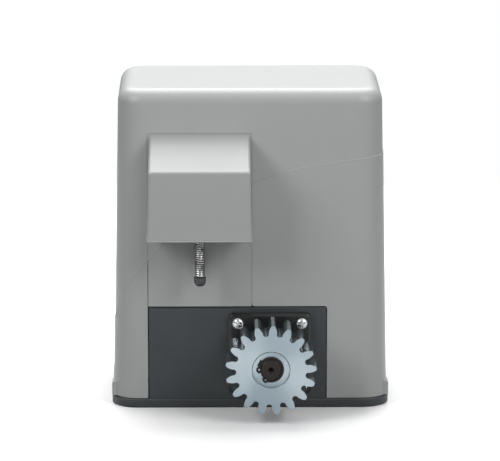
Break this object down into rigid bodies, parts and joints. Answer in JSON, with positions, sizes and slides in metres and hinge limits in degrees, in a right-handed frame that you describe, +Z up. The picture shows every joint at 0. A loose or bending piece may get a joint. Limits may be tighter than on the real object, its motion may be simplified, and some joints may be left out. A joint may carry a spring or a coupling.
{
  "type": "sliding gate motor",
  "caption": "Worm-gear sliding gate motor with a lift-off cover, a rack pinion on a square flange, a spring limit switch under a hood and a manual release.",
  "frame": {"origin": "middle of the base's flat underside", "axes": "+Z up, +X to the right, -Y towards the pinion and the limit switch's hood"},
  "size_m": [0.2362, 0.214, 0.273],
  "materials": {
    "cover_plastic": "satin moulded plastic, mid grey",
    "hood_plastic": "satin moulded plastic, grey",
    "dark_casting": "die casting with dark grey paint",
    "black_enamel": "gloss black enamel",
    "cast_aluminium": "as cast",
    "fibre_gasket": "fibre sheet",
    "zinc_plated_steel": "zinc plated, machined",
    "oiled_steel": "black oiled",
    "bronze": "machined bronze",
    "ground_steel": "ground",
    "knob_plastic": "moulded red plastic",
    "nickel_brass": "nickel plated",
    "bearing_steel": "polished",
    "nitrile_rubber": "matt",
    "lamination_steel": "stacked laminations, varnished",
    "copper_winding": "enamelled copper wire",
    "zinc_screw": "bright zinc",
    "zinc_sheet": "zinc plated sheet",
    "black_nylon": "moulded nylon",
    "spring_steel": "bright drawn wire",
    "switch_plastic": "moulded",
    "board_laminate": "solder mask over glass laminate",
    "terminal_plastic": "moulded",
    "relay_plastic": "moulded",
    "capacitor_sleeve": "shrink sleeve",
    "fuse_glass": "clear tube and plated clips",
    "button_plastic": "moulded",
    "coil_tape": "polyester tape",
    "capacitor_can": "moulded can"
  },
  "bodies": {
    "root": {"base_housing": "dark_casting", "bearing_flange": "black_enamel", "board_capacitors": "capacitor_sleeve", "board_carrier": "black_nylon", "board_fuse": "fuse_glass", "board_relays": "relay_plastic", "board_terminals": "terminal_plastic", "button_case": "switch_plastic", "cable_grommet": "nitrile_rubber", "capacitor_clamp": "zinc_sheet", "control_board": "board_laminate", "cover_screws": "zinc_screw", "flange_screws": "zinc_screw", "front_bearing": "bearing_steel", "gear_case_gasket": "fibre_gasket", "gear_case_lid": "cast_aluminium", "gear_case_screws": "zinc_screw", "heat_sink": "cast_aluminium", "levelling_screws": "zinc_screw", "limit_hood": "hood_plastic", "m3_screws": "zinc_screw", "m4_screws": "zinc_screw", "microswitches": "switch_plastic", "motor_capacitor": "capacitor_can", "motor_lower_bell": "cast_aluminium", "motor_tie_bolts": "zinc_screw", "motor_top_bearing": "bearing_steel", "motor_upper_bell": "cast_aluminium", "oil_seal": "nitrile_rubber", "rear_bearing": "bearing_steel", "receiver_module": "board_laminate", "stator_stack": "lamination_steel", "stator_windings": "copper_winding", "switch_plate": "zinc_sheet", "transformer_coil": "coil_tape", "transformer_core": "lamination_steel", "transformer_strap": "zinc_sheet", "worm_foot_bearing": "bearing_steel", "worm_top_bearing": "bearing_steel"},
    "cover": {"cover": "cover_plastic"},
    "output": {"output_shaft": "oiled_steel", "output_key": "oiled_steel", "drive_pinion": "zinc_plated_steel", "pinion_circlip": "oiled_steel", "worm_wheel": "bronze"},
    "clutch": {"clutch_ring": "ground_steel", "clutch_pin": "ground_steel"},
    "release_rod": {"release_rod": "ground_steel"},
    "release_knob": {"release_knob": "knob_plastic"},
    "lock": {"lock_barrel": "nickel_brass"},
    "rotor": {"worm_shaft": "ground_steel", "rotor_core": "lamination_steel"},
    "limit_lever": {"limit_pivot": "ground_steel", "limit_hub": "black_nylon", "limit_spring": "spring_steel", "limit_tip": "black_nylon", "limit_rocker": "black_nylon"},
    "switch_lever_left": {"switch_lever_left": "zinc_sheet"},
    "switch_lever_right": {"switch_lever_right": "zinc_sheet"},
    "program_button": {"program_button": "button_plastic"}
  },
  "joints": [
    {"name": "cover_lift", "type": "slide", "parent": "root", "child": "cover", "axis": [0, 0, 1], "range_m": [0, 0.3]},
    {"name": "output_spin", "type": "hinge", "parent": "root", "child": "output", "pos_m": [0.0165, -0.017, 0.048], "axis": [0, 1, 0], "continuous": true},
    {"name": "rotor_spin", "type": "hinge", "parent": "root", "child": "rotor", "pos_m": [0.0565, -0.017, 0.15], "axis": [0, 0, 1], "continuous": true},
    {"name": "clutch_slide", "type": "slide", "parent": "output", "child": "clutch", "axis": [0, -1, 0], "range_m": [0, 0.004]},
    {"name": "release_push", "type": "slide", "parent": "root", "child": "release_rod", "axis": [0, -1, 0], "range_m": [0, 0.004]},
    {"name": "release_turn", "type": "hinge", "parent": "root", "child": "release_knob", "pos_m": [0.0165, 0.066, 0.048], "axis": [0, 1, 0], "range_deg": [0, 90]},
    {"name": "lock_turn", "type": "hinge", "parent": "release_knob", "child": "lock", "pos_m": [0.0165, 0.067, 0.048], "axis": [0, 1, 0], "range_deg": [0, 90]},
    {"name": "limit_swing", "type": "hinge", "parent": "root", "child": "limit_lever", "pos_m": [-0.0426, -0.098, 0.168], "axis": [0, 1, 0], "range_deg": [-20, 20], "stiffness_Nm_per_rad": 0.4},
    {"name": "switch_press_left", "type": "hinge", "parent": "root", "child": "switch_lever_left", "pos_m": [-0.0535, -0.05915, 0.1593], "axis": [0, -1, 0], "range_deg": [0, 4], "stiffness_Nm_per_rad": 0.02, "springref_deg": -5.73},
    {"name": "switch_press_right", "type": "hinge", "parent": "root", "child": "switch_lever_right", "pos_m": [-0.0317, -0.05915, 0.1593], "axis": [0, 1, 0], "range_deg": [0, 4], "stiffness_Nm_per_rad": 0.02, "springref_deg": -5.73},
    {"name": "button_press", "type": "slide", "parent": "root", "child": "program_button", "axis": [0, -1, 0], "range_m": [0, 0.0005], "stiffness_N_per_m": 400, "springref_m": -0.0005}
  ],
  "couplings": [
    {"joint": "rotor_spin", "follows": "output_spin", "ratio": 30},
    {"joint": "clutch_slide", "follows": "release_push", "ratio": 1},
    {"joint": "release_turn", "follows": "release_push", "rad_per_m": 392.7}
  ]
}
